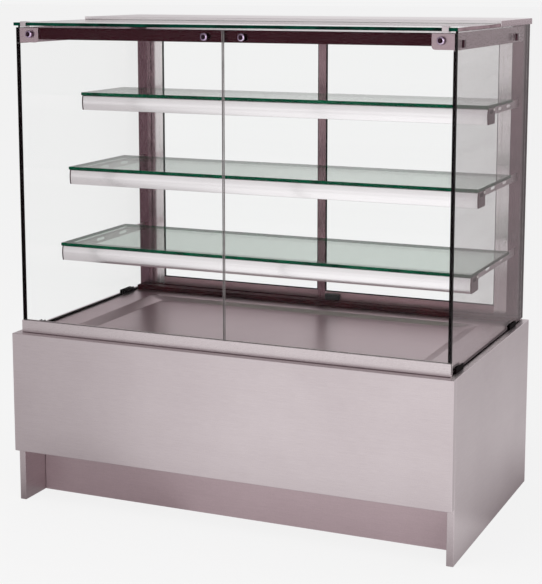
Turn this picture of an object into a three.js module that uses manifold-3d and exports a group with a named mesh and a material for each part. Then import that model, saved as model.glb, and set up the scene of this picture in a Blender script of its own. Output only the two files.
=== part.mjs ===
// Free-standing pastry display case: a steel cabinet under a glass display chamber with three lit
// glass shelves and two sliding rear doors. Millimetres, +Z up, front towards -Y, origin on the
// floor under the middle of the case.
import * as THREE from 'three';
import * as BufferGeometryUtils from 'three/addons/utils/BufferGeometryUtils.js';
import Module from 'manifold-3d';

const wasm = await Module();
wasm.setup();

// ---------------------------------------------------------------- driving dimensions
const WIDTH = 1200; // over the side panels
const DEPTH = 700; // front panel face to rear edge
const HEIGHT = 1272; // floor to top of hood
const BASE_HEIGHT = 458; // floor to deck
const PLINTH_HEIGHT = 140; // floor to underside of front panel
const SIDE_T = 18; // side panel
const FRONT_T = 20; // front panel, which overlays the side panels' front edges
const KICK_SETBACK = 98; // kick panel behind the side panels' front edges
const KICK_T = 12;
const BOARD_T = 18; // cabinet floor and storage shelf
const STORAGE_SHELF_Z = 250;
const STRETCHER = 40; // square section
const STRETCHER_AXIS_Z = 360;
const FRONT_STRETCHER_Y = 31; // axis behind the side panels' front edges
const REAR_STRETCHER_Y = 61; // axis in front of the rear edge
const DECK_T = 22;
const WELL_DEPTH = 12;
const WELL_SIDE_MARGIN = 87; // deck edge to rim of the well
const WELL_FRONT_MARGIN = 60;
const WELL_REAR_MARGIN = 115;
const WELL_SIDE_SLOPE = 39; // plan width of the sloping wall
const WELL_END_SLOPE = 15;
const GAP = 0.3; // between pieces that touch
const SHEET = 3; // folded steel plate
const THIN_SHEET = 2;

const PANE_T = 6; // front and side glass
const DOOR_GLASS_T = 4;
const TOP_GLASS_T = 8;
const SHELF_GLASS_T = 8;
const GLAZING_CLEARANCE = 0.6; // glass to the walls of its rail
const SIDE_GLASS_INSET = 17.5; // outer face of the side glass from the side panel's outer face
const FRONT_RAIL_SETBACK = 4; // behind the side panels' front edges
const FRONT_RAIL_H = 32;
const FRONT_RAIL_OVERLAP = 2; // rail end over each side panel
const FRONT_GLASS_SEAM = 3; // between the two front panes
const TOP_GLASS_SETBACK = 3.2;
const TOP_GLASS_OVERHANG = 4.5; // beyond the side glass
const TOP_GLASS_DROP = 7.5; // top of glass below top of hood
const CLIP_LENGTH = 62; // rubber pads under the side glass
const CLIP_HEIGHT = 13;
const CLIP_WALL = 4;
const CLIP_SEAT = 3; // rubber under the glass
const FRONT_CLIP_Y = 22; // behind the side glass's front edge
const REAR_CLIP_Y = 88; // in front of its rear edge

const HEADER_H = 30;
const HEADER_TOP_DROP = 4.5; // below the top glass
const SIDE_RAIL_H = 40;
const TAB_W = 55; // front tab of the side rail
const TAB_H = 38;
const TAB_RADIUS = 10;
const EDGE_CLIP_W = 16; // clip over the top glass's front edge
const EDGE_CLIP_INSET = 19; // its middle from the frame's outer plane
const EDGE_CLIP_REACH = 18;
const EDGE_CLIP_T = 2.4;
const HOOD_DEPTH = 311;
const HOOD_REAR_SETBACK = 6;

const POST_W = 30;
const POST_D = 40;
const POST_WALL = 2;
const TRACK_FRONT = 60; // lower track's front edge from the rear edge
const TRACK_H = 13;
const TRACK_FLOOR = 2.5;
const TRACK_LIP = 1.8; // between the two doors' channels
const UPPER_TRACK_H = 30;
const UPPER_TRACK_GRIP = 11; // how far the doors stand up into it
const DOOR_T = 10;
const DOOR_RUNNING_GAP = 0.6; // door face to channel wall
const DOOR_REAR_MARGIN = 5;
const DOOR_OVERLAP = 16; // of the two doors when shut
const DOOR_RAIL = 32;
const MEETING_STILE = 22;
const OUTER_STILE = 37;
const REBATE = 6; // glass edge inside the frame
const REBATE_CLEARANCE = 0.3;
const PULL = { width: 14, depth: 5.5, height: 300 };
const STILE_GROOVE = { inset: 25, width: 2, depth: 1.5 };
const GUIDE = { width: 44, height: 17, depth: 9, offset: 17 }; // centre guide on the lower track

const SHELF_LEVELS = [
  { name: 'lower', top: 208.5, front: 191 },
  { name: 'middle', top: 411, front: 238 },
  { name: 'upper', top: 608.6, front: 311 },
]; // top above the deck, front edge behind the side panels' front edges
const SHELF_REAR_MARGIN = 133; // shelf glass's rear edge from the rear edge
const SHELF_SIDE_CLEARANCE = 1.5;
const LIGHT_RAIL = { depth: 60, height: 40, wall: 2, setback: 4, bulge: 3 };
const END_CAP_T = 3;
const ARM = { height: 20, thickness: 3, inset: 14, hook: 8, hookDrop: 6, slotClearance: 0.6 };
const OVAL = { length: 46, height: 8 };
const CAP_SLOT = { length: 28, height: 10, inset: 12, drop: 9 };

const PANEL_H = 64; // rear control panel
const PANEL_T = 3;
const SWITCH = { inset: 152, width: 22, height: 30, wall: 2, depth: 14, flange: 3, tilt: 8 };
const INLET = { inset: 92, width: 48, height: 28, wall: 3, depth: 24, recess: 15, flange: 5 };
const DRIVER = { inset: 252, width: 160, depth: 46, height: 30, clearance: 4 };

// ---------------------------------------------------------------- derived planes
const FRONT_Y = -DEPTH / 2;
const CARCASS_Y = FRONT_Y + FRONT_T; // side panels' front edges
const REAR_Y = DEPTH / 2;
const INNER_X = WIDTH / 2 - SIDE_T;
const STAND_Z = BASE_HEIGHT + GAP; // what stands on the deck
const GLASS_OUT_X = WIDTH / 2 - SIDE_GLASS_INSET;
const GLASS_IN_X = GLASS_OUT_X - PANE_T;
const FRAME_X = GLASS_IN_X - GAP; // outermost plane of the steel frame
const TOP_GLASS_Z = HEIGHT - TOP_GLASS_DROP;
const TOP_GLASS_UNDER = TOP_GLASS_Z - TOP_GLASS_T;
const FRAME_TOP = TOP_GLASS_UNDER - GAP;
const HEADER_TOP = TOP_GLASS_UNDER - HEADER_TOP_DROP;
const RAIL_Y = CARCASS_Y + FRONT_RAIL_SETBACK;
const PANE_Y = RAIL_Y + SHEET + GLAZING_CLEARANCE;
const RAIL_REAR_Y = PANE_Y + PANE_T + GLAZING_CLEARANCE + SHEET;
const TAB_Y = PANE_Y + PANE_T + GLAZING_CLEARANCE;
const SIDE_GLASS_FRONT = RAIL_REAR_Y + GAP;
const POST_FRONT = REAR_Y - POST_D;
const POST_IN_X = FRAME_X - POST_W;
const DOOR_OUT_X = POST_IN_X - DOOR_RUNNING_GAP;
const DOOR_BOTTOM = STAND_Z + TRACK_FLOOR + DOOR_RUNNING_GAP;
const UPPER_TRACK_BOTTOM = FRAME_TOP - UPPER_TRACK_H;
const DOOR_TOP = UPPER_TRACK_BOTTOM + UPPER_TRACK_GRIP;
const OUTER_DOOR_REAR = REAR_Y - DOOR_REAR_MARGIN;
const OUTER_DOOR_FRONT = OUTER_DOOR_REAR - DOOR_T;
const INNER_DOOR_REAR = OUTER_DOOR_FRONT - TRACK_LIP - 2 * DOOR_RUNNING_GAP;
const INNER_DOOR_FRONT = INNER_DOOR_REAR - DOOR_T;

// ---------------------------------------------------------------- finishes
const finish = (color, roughness, metalness, more = {}) =>
  new THREE.MeshStandardMaterial({ color, roughness, metalness, ...more });
const steel = finish(0xb9aeb1, 0.38, 1);
const darkSteel = finish(0x5d464c, 0.35, 1);
const aluminium = finish(0xd9d4d6, 0.3, 1);
const castTrack = finish(0x1c1214, 0.5, 0.4);
const rubber = finish(0x0c090a, 0.8, 0);
const plastic = finish(0x16161a, 0.5, 0);
const clearGlass = finish(0xd8ece4, 0.03, 0, { transparent: true, opacity: 0.25 });
const opal = finish(0xf4f4f0, 0.6, 0);

// ---------------------------------------------------------------- shape helpers
const root = new THREE.Group();

function place(name, geometry, material) {
  const mesh = new THREE.Mesh(geometry, material);
  mesh.name = name;
  root.add(mesh);
  return mesh;
}

function slab([x0, x1], [y0, y1], [z0, z1]) {
  const box = new THREE.BoxGeometry(x1 - x0, y1 - y0, z1 - z0);
  return box.translate((x0 + x1) / 2, (y0 + y1) / 2, (z0 + z1) / 2);
}

function solid(geometry) {
  const bare = geometry.clone();
  bare.deleteAttribute('normal');
  bare.deleteAttribute('uv');
  const merged = BufferGeometryUtils.mergeVertices(bare, 1e-4);
  return new wasm.Manifold(new wasm.Mesh({
    numProp: 3,
    vertProperties: new Float32Array(merged.attributes.position.array),
    triVerts: new Uint32Array(merged.index.array),
  }));
}

function surface(manifold) {
  const mesh = manifold.getMesh();
  const geometry = new THREE.BufferGeometry();
  geometry.setAttribute('position', new THREE.BufferAttribute(mesh.vertProperties, 3));
  geometry.setIndex(new THREE.BufferAttribute(mesh.triVerts, 1));
  geometry.computeVertexNormals();
  return geometry;
}

const cut = (body, ...tools) =>
  surface(tools.reduce((rest, tool) => rest.subtract(solid(tool)), solid(body)));
const join = (...bodies) => surface(bodies.map(solid).reduce((whole, next) => whole.add(next)));

// An interval on one side of the middle plane, lowest value first.
const sided = (side, near, far) => (side > 0 ? [near, far] : [-far, -near]);

// A flat outline in (y, z), given thickness along x between x0 and x1.
function alongX(shape, [x0, x1], curveSegments = 12) {
  const geometry = new THREE.ExtrudeGeometry(shape, {
    depth: x1 - x0, bevelEnabled: false, curveSegments,
  });
  geometry.applyMatrix4(new THREE.Matrix4().makeBasis(
    new THREE.Vector3(0, 1, 0), new THREE.Vector3(0, 0, 1), new THREE.Vector3(1, 0, 0),
  ));
  return geometry.translate(x0, 0, 0);
}

// A flat outline in (x, z), given thickness along y between y0 and y1.
function alongY(shape, [y0, y1], curveSegments = 12) {
  const geometry = new THREE.ExtrudeGeometry(shape, {
    depth: y1 - y0, bevelEnabled: false, curveSegments,
  });
  return geometry.rotateX(Math.PI / 2).translate(0, y1, 0);
}

// An oval in the plane of a shape: straight sides with half-round ends.
function oval(path, centreY, centreZ, length, height) {
  const r = height / 2;
  const half = length / 2 - r;
  path.moveTo(centreY - half, centreZ - r);
  path.lineTo(centreY + half, centreZ - r);
  path.absarc(centreY + half, centreZ, r, -Math.PI / 2, Math.PI / 2, false);
  path.lineTo(centreY - half, centreZ + r);
  path.absarc(centreY - half, centreZ, r, Math.PI / 2, (3 * Math.PI) / 2, false);
  return path;
}

// ---------------------------------------------------------------- lower cabinet
function addCarcass() {
  for (const [hand, side] of [['left', -1], ['right', 1]]) {
    place(`${hand}_side_panel`,
      slab(sided(side, INNER_X, WIDTH / 2), [CARCASS_Y, REAR_Y], [0, BASE_HEIGHT]), steel);
  }
  const between = [-INNER_X + GAP, INNER_X - GAP];
  place('front_panel',
    slab([-WIDTH / 2, WIDTH / 2], [FRONT_Y, CARCASS_Y - GAP], [PLINTH_HEIGHT, BASE_HEIGHT]), steel);
  const kickY = CARCASS_Y + KICK_SETBACK;
  place('kick_panel', slab(between, [kickY, kickY + KICK_T], [0, PLINTH_HEIGHT - GAP]), steel);
  place('cabinet_floor',
    slab(between, [CARCASS_Y, REAR_Y], [PLINTH_HEIGHT, PLINTH_HEIGHT + BOARD_T]), steel);
  place('storage_shelf',
    slab(between, [CARCASS_Y + BOARD_T, REAR_Y - BOARD_T],
      [STORAGE_SHELF_Z, STORAGE_SHELF_Z + BOARD_T]), steel);
  const half = STRETCHER / 2;
  const axes = { front: CARCASS_Y + FRONT_STRETCHER_Y, rear: REAR_Y - REAR_STRETCHER_Y };
  for (const [end, y] of Object.entries(axes)) {
    const bar = slab(between, [y - half, y + half],
      [STRETCHER_AXIS_Z - half, STRETCHER_AXIS_Z + half]);
    const bore = slab([-WIDTH, WIDTH], [y - half + SHEET, y + half - SHEET],
      [STRETCHER_AXIS_Z - half + SHEET, STRETCHER_AXIS_Z + half - SHEET]);
    place(`${end}_stretcher`, cut(bar, bore), steel);
  }
}

// The deck is one pressed plate with a shallow sloping well for the goods.
function addDeck() {
  const edge = INNER_X - GAP;
  const plate = slab([-edge, edge], [CARCASS_Y + GAP, REAR_Y], [BASE_HEIGHT - DECK_T, BASE_HEIGHT]);
  const rimX = INNER_X - WELL_SIDE_MARGIN;
  const rimFront = CARCASS_Y + WELL_FRONT_MARGIN;
  const rimRear = REAR_Y - WELL_REAR_MARGIN;
  const above = 1; // the cutter stands this far above the deck
  const grow = (WELL_DEPTH + above) / WELL_DEPTH;
  const middle = (rimFront + rimRear) / 2;
  const halfLength = (rimRear - rimFront) / 2;
  const cutter = slab([-1, 1], [-1, 1], [0, WELL_DEPTH + above]);
  const at = cutter.attributes.position;
  for (let i = 0; i < at.count; i += 1) {
    const opened = at.getZ(i) > 0 ? grow : 0;
    at.setX(i, at.getX(i) * (rimX - WELL_SIDE_SLOPE * (1 - opened)));
    at.setY(i, middle + at.getY(i) * (halfLength - WELL_END_SLOPE * (1 - opened)));
    at.setZ(i, at.getZ(i) + BASE_HEIGHT - WELL_DEPTH);
  }
  place('deck', cut(plate, cutter), steel);
}

// ---------------------------------------------------------------- glazing
function addFrontRail() {
  const end = INNER_X + FRONT_RAIL_OVERLAP;
  const rail = slab([-end, end], [RAIL_Y, RAIL_REAR_Y], [STAND_Z, STAND_Z + FRONT_RAIL_H]);
  const groove = slab([-WIDTH, WIDTH], [RAIL_Y + SHEET, RAIL_REAR_Y - SHEET],
    [STAND_Z + SHEET, STAND_Z + 2 * FRONT_RAIL_H]);
  place('front_glass_rail', cut(rail, groove), steel);
}

function addPanes() {
  const paneBottom = STAND_Z + SHEET + GAP;
  for (const [hand, side] of [['left', -1], ['right', 1]]) {
    place(`${hand}_front_glass`,
      slab(sided(side, FRONT_GLASS_SEAM / 2, GLASS_OUT_X), [PANE_Y, PANE_Y + PANE_T],
        [paneBottom, HEADER_TOP]), clearGlass);
    place(`${hand}_side_glass`,
      slab(sided(side, GLASS_IN_X, GLASS_OUT_X), [SIDE_GLASS_FRONT, REAR_Y],
        [STAND_Z + CLIP_SEAT + GAP, FRAME_TOP]), clearGlass);
    const clips = { front: SIDE_GLASS_FRONT + FRONT_CLIP_Y, rear: REAR_Y - REAR_CLIP_Y - CLIP_LENGTH };
    for (const [end, y] of Object.entries(clips)) addGlassClip(hand, side, end, y);
  }
  const glassX = GLASS_OUT_X + TOP_GLASS_OVERHANG;
  place('top_glass',
    slab([-glassX, glassX], [CARCASS_Y + TOP_GLASS_SETBACK, REAR_Y - 2 * HOOD_REAR_SETBACK],
      [TOP_GLASS_UNDER, TOP_GLASS_Z]), clearGlass);
}

// A rubber pad that straddles the bottom edge of the side glass.
function addGlassClip(hand, side, end, y) {
  const across = sided(side, GLASS_IN_X - CLIP_WALL, GLASS_OUT_X + CLIP_WALL);
  const along = [y, y + CLIP_LENGTH];
  const pad = slab(across, along, [STAND_Z, STAND_Z + CLIP_HEIGHT]);
  const channel = slab(sided(side, GLASS_IN_X - GAP, GLASS_OUT_X + GAP), [y - 1, y + CLIP_LENGTH + 1],
    [STAND_Z + CLIP_SEAT, STAND_Z + 2 * CLIP_HEIGHT]);
  place(`${hand}_${end}_glass_clip`, cut(pad, channel), rubber);
}

// ---------------------------------------------------------------- upper frame
function addUpperFrame() {
  const webIn = FRAME_X - SHEET;
  const headerY = TAB_Y + SHEET + GAP;
  const headerEnd = webIn - GAP;
  place('header_bar', slab([-headerEnd, headerEnd], [headerY, headerY + SHEET],
    [HEADER_TOP - HEADER_H, HEADER_TOP]), darkSteel);
  for (const [hand, side] of [['left', -1], ['right', 1]]) {
    addSideRail(hand, side, webIn);
    addEdgeClip(hand, side);
    addPost(hand, side);
  }
}

// Folded rail along the top of a side, with a rounded tab turned in behind the front glass.
function addSideRail(hand, side, webIn) {
  const web = slab(sided(side, webIn, FRAME_X), [TAB_Y, POST_FRONT - GAP],
    [HEADER_TOP - SIDE_RAIL_H, HEADER_TOP]);
  const tab = new THREE.Shape();
  const inner = FRAME_X - TAB_W;
  const foot = HEADER_TOP - TAB_H;
  tab.moveTo(side * FRAME_X, HEADER_TOP);
  tab.lineTo(side * inner, HEADER_TOP);
  tab.lineTo(side * inner, foot + TAB_RADIUS);
  tab.quadraticCurveTo(side * inner, foot, side * (inner + TAB_RADIUS), foot);
  tab.lineTo(side * FRAME_X, foot);
  const turned = alongY(tab, [TAB_Y, TAB_Y + SHEET]);
  place(`${hand}_side_rail`, join(web, turned), steel);
}

// Clip round the front edge of the top glass, standing on the header.
function addEdgeClip(hand, side) {
  const x = side * (FRAME_X - EDGE_CLIP_INSET);
  const across = [x - EDGE_CLIP_W / 2, x + EDGE_CLIP_W / 2];
  const noseY = CARCASS_Y + TOP_GLASS_SETBACK - GAP;
  const reach = noseY + EDGE_CLIP_REACH;
  const lowTop = TOP_GLASS_UNDER - GAP;
  const highBottom = TOP_GLASS_Z + GAP;
  const nose = slab(across, [noseY - EDGE_CLIP_T, noseY], [lowTop - EDGE_CLIP_T, highBottom + EDGE_CLIP_T]);
  const lower = slab(across, [noseY - EDGE_CLIP_T, reach], [lowTop - EDGE_CLIP_T, lowTop]);
  const upper = slab(across, [noseY - EDGE_CLIP_T, reach], [highBottom, highBottom + EDGE_CLIP_T]);
  place(`${hand}_top_glass_clip`, join(nose, lower, upper), steel);
}

const armMiddleX = GLASS_IN_X - ARM.inset;
const armTop = (level) => BASE_HEIGHT + level.top - SHELF_GLASS_T - GAP;

// Hollow post with one slot in its front face for each shelf arm's hook.
function addPost(hand, side) {
  const body = slab(sided(side, POST_IN_X, FRAME_X), [POST_FRONT, REAR_Y], [STAND_Z, FRAME_TOP]);
  const hollow = slab(sided(side, POST_IN_X + POST_WALL, FRAME_X - POST_WALL),
    [POST_FRONT + POST_WALL, REAR_Y - POST_WALL], [0, HEIGHT]);
  const slotHalf = ARM.thickness / 2 + ARM.slotClearance;
  const slots = SHELF_LEVELS.map((level) => slab(
    sided(side, armMiddleX - slotHalf, armMiddleX + slotHalf),
    [POST_FRONT - 1, POST_FRONT + 2 * POST_WALL],
    [armTop(level) - ARM.height - ARM.slotClearance, armTop(level) + ARM.slotClearance],
  ));
  place(`${hand}_rear_post`, cut(body, hollow, ...slots), steel);
}

function addHood() {
  const x = GLASS_OUT_X + TOP_GLASS_OVERHANG + GAP + THIN_SHEET;
  const rear = REAR_Y - HOOD_REAR_SETBACK;
  const front = rear - HOOD_DEPTH;
  const shell = slab([-x, x], [front, rear], [TOP_GLASS_UNDER, HEIGHT]);
  const inside = slab([-x + THIN_SHEET, x - THIN_SHEET], [front - 1, rear - THIN_SHEET],
    [0, HEIGHT - THIN_SHEET]);
  const lip = slab([-x, x], [front, front + THIN_SHEET], [TOP_GLASS_Z + GAP, HEIGHT]);
  place('hood', surface(solid(shell).subtract(solid(inside)).add(solid(lip))), steel);
}

// ---------------------------------------------------------------- rear doors
function addTracks() {
  const between = [-POST_IN_X + GAP, POST_IN_X - GAP];
  const channels = [[INNER_DOOR_FRONT, INNER_DOOR_REAR], [OUTER_DOOR_FRONT, OUTER_DOOR_REAR]]
    .map(([front, rear]) => [front - DOOR_RUNNING_GAP, rear + DOOR_RUNNING_GAP]);
  const top = STAND_Z + TRACK_H;
  const bed = slab(between, [REAR_Y - TRACK_FRONT, REAR_Y], [STAND_Z, top]);
  const lip = slab([-FRAME_X, FRAME_X], [REAR_Y - TRACK_FRONT, POST_FRONT - GAP], [STAND_Z, top]);
  const lowerCuts = channels.map((y) => slab([-WIDTH, WIDTH], y, [STAND_Z + TRACK_FLOOR, HEIGHT]));
  place('lower_track',
    surface(lowerCuts.map(solid).reduce((rest, tool) => rest.subtract(tool), solid(bed)).add(solid(lip))),
    castTrack);
  const beam = slab(between, [POST_FRONT, REAR_Y], [UPPER_TRACK_BOTTOM, FRAME_TOP]);
  const upperCuts = channels.map((y) => slab([-WIDTH, WIDTH], y, [0, DOOR_TOP + DOOR_RUNNING_GAP]));
  place('upper_track', cut(beam, ...upperCuts), aluminium);
  const guideRear = INNER_DOOR_FRONT - DOOR_RUNNING_GAP;
  place('centre_guide', slab([GUIDE.offset, GUIDE.offset + GUIDE.width],
    [guideRear - GUIDE.depth, guideRear], [top + GAP, top + GAP + GUIDE.height]), plastic);
}

// One sliding door: a frame round a captured pane. side says which half of the opening it shuts.
function addDoor(hand, side, front) {
  const rear = front + DOOR_T;
  const edge = sided(side, -DOOR_OVERLAP / 2, DOOR_OUT_X);
  const stiles = side > 0 ? [MEETING_STILE, OUTER_STILE] : [OUTER_STILE, MEETING_STILE];
  const sight = [edge[0] + stiles[0], edge[1] - stiles[1]];
  const sightZ = [DOOR_BOTTOM + DOOR_RAIL, DOOR_TOP - DOOR_RAIL];
  const frame = slab(edge, [front, rear], [DOOR_BOTTOM, DOOR_TOP]);
  const light = slab(sight, [front - 1, rear + 1], sightZ);
  const middle = (front + rear) / 2;
  const grown = (range, by) => [range[0] - by, range[1] + by];
  const glassY = [middle - DOOR_GLASS_T / 2, middle + DOOR_GLASS_T / 2];
  const rebate = slab(grown(sight, REBATE + REBATE_CLEARANCE), grown(glassY, REBATE_CLEARANCE),
    grown(sightZ, REBATE + REBATE_CLEARANCE));
  const pullX = side * (DOOR_OUT_X - OUTER_STILE / 2);
  const pullZ = (DOOR_BOTTOM + DOOR_TOP) / 2;
  const pull = slab([pullX - PULL.width / 2, pullX + PULL.width / 2], [rear - PULL.depth, rear + 1],
    [pullZ - PULL.height / 2, pullZ + PULL.height / 2]);
  const grooveX = side * (DOOR_OUT_X - STILE_GROOVE.inset);
  const groove = slab([grooveX - STILE_GROOVE.width / 2, grooveX + STILE_GROOVE.width / 2],
    [front - 1, front + STILE_GROOVE.depth], [0, HEIGHT]);
  place(`${hand}_door_frame`, cut(frame, light, rebate, pull, groove), aluminium);
  place(`${hand}_door_glass`, slab(grown(sight, REBATE), glassY, grown(sightZ, REBATE)), clearGlass);
}

// ---------------------------------------------------------------- shelves
// Section of the light rail: (y, z) with y = 0 at its front and z = 0 at the glass.
function lightRailOutline() {
  const { depth, height, bulge } = LIGHT_RAIL;
  const outline = new THREE.Shape();
  outline.moveTo(bulge, 0);
  outline.quadraticCurveTo(-bulge, -height / 2, bulge, -height);
  outline.lineTo(depth, -height);
  outline.lineTo(depth, 0);
  return outline;
}

function addLightRail(level, front, top, end) {
  const { depth, height, wall, bulge } = LIGHT_RAIL;
  const body = alongX(lightRailOutline(), [-end, end]);
  const inside = slab([-WIDTH, WIDTH], [bulge + wall, depth - wall], [-2 * height, -wall]);
  place(`${level.name}_light_rail`, cut(body, inside).translate(0, front, top), aluminium);
  const clear = bulge + wall + GAP;
  place(`${level.name}_light_diffuser`,
    slab([-end, end], [clear, depth - wall - GAP], [-height + wall, -height + 2 * wall])
      .translate(0, front, top), opal);
}

function addEndCap(level, hand, side, front, top, end) {
  const shape = lightRailOutline();
  const slotY = CAP_SLOT.inset + CAP_SLOT.length / 2;
  shape.holes.push(oval(new THREE.Path(), slotY, -CAP_SLOT.drop, CAP_SLOT.length, CAP_SLOT.height));
  place(`${level.name}_${hand}_end_cap`,
    alongX(shape, sided(side, end + GAP, end + GAP + END_CAP_T)).translate(0, front, top), darkSteel);
}

// Flat shelf arm with two oval lightening holes and a hook that drops inside the post's slot.
function addArm(level, hand, side, start, top) {
  const wallFront = POST_FRONT - GAP;
  const hookFront = POST_FRONT + POST_WALL + GAP;
  const neck = ARM.height - ARM.hookDrop;
  const arm = new THREE.Shape();
  arm.moveTo(start, top);
  arm.lineTo(hookFront + ARM.hook, top);
  arm.lineTo(hookFront + ARM.hook, top - ARM.height);
  arm.lineTo(hookFront, top - ARM.height);
  arm.lineTo(hookFront, top - neck);
  arm.lineTo(wallFront, top - neck);
  arm.lineTo(wallFront, top - ARM.height);
  arm.lineTo(start, top - ARM.height);
  const pitch = (wallFront - start) / 3;
  for (const step of [1, 2]) {
    arm.holes.push(oval(new THREE.Path(), start + step * pitch, top - ARM.height / 2,
      OVAL.length, OVAL.height));
  }
  const half = ARM.thickness / 2;
  place(`${level.name}_${hand}_shelf_arm`,
    alongX(arm, sided(side, armMiddleX - half, armMiddleX + half)), steel);
}

function addShelf(level) {
  const glassTop = BASE_HEIGHT + level.top;
  const glassFront = CARCASS_Y + level.front;
  const half = GLASS_IN_X - SHELF_SIDE_CLEARANCE;
  place(`${level.name}_shelf_glass`,
    slab([-half, half], [glassFront, REAR_Y - SHELF_REAR_MARGIN],
      [glassTop - SHELF_GLASS_T, glassTop]), clearGlass);
  const top = armTop(level);
  const railFront = glassFront + LIGHT_RAIL.setback;
  const railEnd = half - END_CAP_T - GAP;
  addLightRail(level, railFront, top, railEnd);
  for (const [hand, side] of [['left', -1], ['right', 1]]) {
    addEndCap(level, hand, side, railFront, top, railEnd);
    addArm(level, hand, side, railFront + LIGHT_RAIL.depth + GAP, top);
  }
}

// ---------------------------------------------------------------- rear controls
function ring(x, z, width, height, flange, y, depth, wall) {
  const body = slab([x - width / 2, x + width / 2], [y - depth, y], [z - height / 2, z + height / 2]);
  const rim = slab([x - width / 2 - flange, x + width / 2 + flange], [y, y + THIN_SHEET],
    [z - height / 2 - flange, z + height / 2 + flange]);
  const bore = slab([x - width / 2 + wall, x + width / 2 - wall], [y - 2 * depth, y + 2 * depth],
    [z - height / 2 + wall, z + height / 2 - wall]);
  return { body, rim, bore };
}

function addControls() {
  const top = BASE_HEIGHT - DECK_T - GAP;
  const z = top - PANEL_H / 2;
  const face = REAR_Y - THIN_SHEET - GAP;
  const back = face - PANEL_T;
  const panel = slab([-INNER_X + GAP, INNER_X - GAP], [back, face], [top - PANEL_H, top]);
  const switchX = INNER_X - SWITCH.inset;
  const inletX = INNER_X - INLET.inset;
  const driverX = INNER_X - DRIVER.inset;
  const openings = [[switchX, SWITCH], [inletX, INLET]].map(([x, { width, height }]) => slab(
    [x - width / 2 - GAP, x + width / 2 + GAP], [back - 1, face + 1],
    [z - height / 2 - GAP, z + height / 2 + GAP],
  ));
  place('control_panel', cut(panel, ...openings), steel);
  const seat = face + GAP;
  const bezel = ring(switchX, z, SWITCH.width, SWITCH.height, SWITCH.flange, seat, SWITCH.depth,
    SWITCH.wall);
  place('switch_bezel',
    surface(solid(bezel.body).add(solid(bezel.rim)).subtract(solid(bezel.bore))), plastic);
  addRocker(switchX, z, seat);
  const socket = ring(inletX, z, INLET.width, INLET.height, INLET.flange, seat, INLET.depth, INLET.wall);
  const recess = slab([inletX - INLET.width / 2 + INLET.wall, inletX + INLET.width / 2 - INLET.wall],
    [seat - INLET.recess, seat + INLET.depth],
    [z - INLET.height / 2 + INLET.wall, z + INLET.height / 2 - INLET.wall]);
  place('power_inlet',
    surface(solid(socket.body).add(solid(socket.rim)).subtract(solid(recess))), plastic);
  const driverRear = back - INLET.depth - DRIVER.clearance;
  place('light_driver', slab([driverX - DRIVER.width / 2, driverX + DRIVER.width / 2],
    [driverRear - DRIVER.depth, driverRear], [top - GAP - DRIVER.height, top - GAP]), plastic);
}

// The rocker is a shallow wedge that pivots inside its bezel; it rests pressed at the bottom.
function addRocker(x, z, seat) {
  const halfX = SWITCH.width / 2 - SWITCH.wall - DOOR_RUNNING_GAP;
  const halfZ = SWITCH.height / 2 - SWITCH.wall - 2 * DOOR_RUNNING_GAP;
  const lean = THREE.MathUtils.degToRad(SWITCH.tilt);
  const wedge = new THREE.Shape();
  wedge.moveTo(-SWITCH.wall, -halfZ / 2);
  wedge.lineTo(0, -halfZ);
  wedge.lineTo(halfZ * Math.tan(lean), -halfZ);
  wedge.lineTo(0, 0);
  wedge.lineTo(halfZ * Math.tan(lean), halfZ);
  wedge.lineTo(0, halfZ);
  wedge.lineTo(-SWITCH.wall, halfZ / 2);
  const rocker = alongX(wedge, [-halfX, halfX]);
  rocker.rotateX(lean);
  place('light_switch', rocker.translate(x, seat - SWITCH.wall, z), plastic);
}

// ---------------------------------------------------------------- assembly
addCarcass();
addDeck();
addFrontRail();
addPanes();
addUpperFrame();
addHood();
addTracks();
addDoor('right', 1, INNER_DOOR_FRONT);
addDoor('left', -1, OUTER_DOOR_FRONT);
SHELF_LEVELS.forEach(addShelf);
addControls();

export default root;
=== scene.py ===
# %% [markdown]
# # A lit pastry display case
# The case is a low steel cabinet with a glass chamber on top: three lit glass shelves, a deck with a
# shallow well, and two sliding glass doors on the staff side. The frame that is loaded first holds
# every fitted part at its real place. The cells after it add what a buyer looks at: soft folded
# edges, the polished green edges of float glass, brushed grain, fixings and light.
# Every length is in metres, and every place comes from a part of the frame.

# %% Load the frame
import math

import bmesh
import bpy
from mathutils import Matrix, Vector


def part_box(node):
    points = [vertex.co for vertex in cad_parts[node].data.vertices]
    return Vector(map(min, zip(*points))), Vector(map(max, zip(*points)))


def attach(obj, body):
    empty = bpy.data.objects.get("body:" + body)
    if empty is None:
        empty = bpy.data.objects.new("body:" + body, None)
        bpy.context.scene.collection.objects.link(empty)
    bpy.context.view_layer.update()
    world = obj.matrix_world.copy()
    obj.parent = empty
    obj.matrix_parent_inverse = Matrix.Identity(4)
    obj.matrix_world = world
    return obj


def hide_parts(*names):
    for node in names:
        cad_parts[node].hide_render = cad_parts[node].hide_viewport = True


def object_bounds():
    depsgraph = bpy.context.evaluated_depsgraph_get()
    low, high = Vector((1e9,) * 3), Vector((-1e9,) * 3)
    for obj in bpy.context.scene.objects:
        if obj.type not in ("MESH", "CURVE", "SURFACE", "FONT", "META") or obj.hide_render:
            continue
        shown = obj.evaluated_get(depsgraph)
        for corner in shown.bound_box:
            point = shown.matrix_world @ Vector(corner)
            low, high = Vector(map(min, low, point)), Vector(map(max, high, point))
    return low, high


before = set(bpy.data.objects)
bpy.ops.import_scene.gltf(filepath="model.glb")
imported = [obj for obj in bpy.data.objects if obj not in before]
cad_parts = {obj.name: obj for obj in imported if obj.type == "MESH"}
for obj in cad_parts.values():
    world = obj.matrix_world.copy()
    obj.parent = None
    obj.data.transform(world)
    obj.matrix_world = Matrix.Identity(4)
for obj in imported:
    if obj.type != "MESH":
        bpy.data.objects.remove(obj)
cad_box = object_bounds()
scene = bpy.context.scene
MM = 0.001
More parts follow.
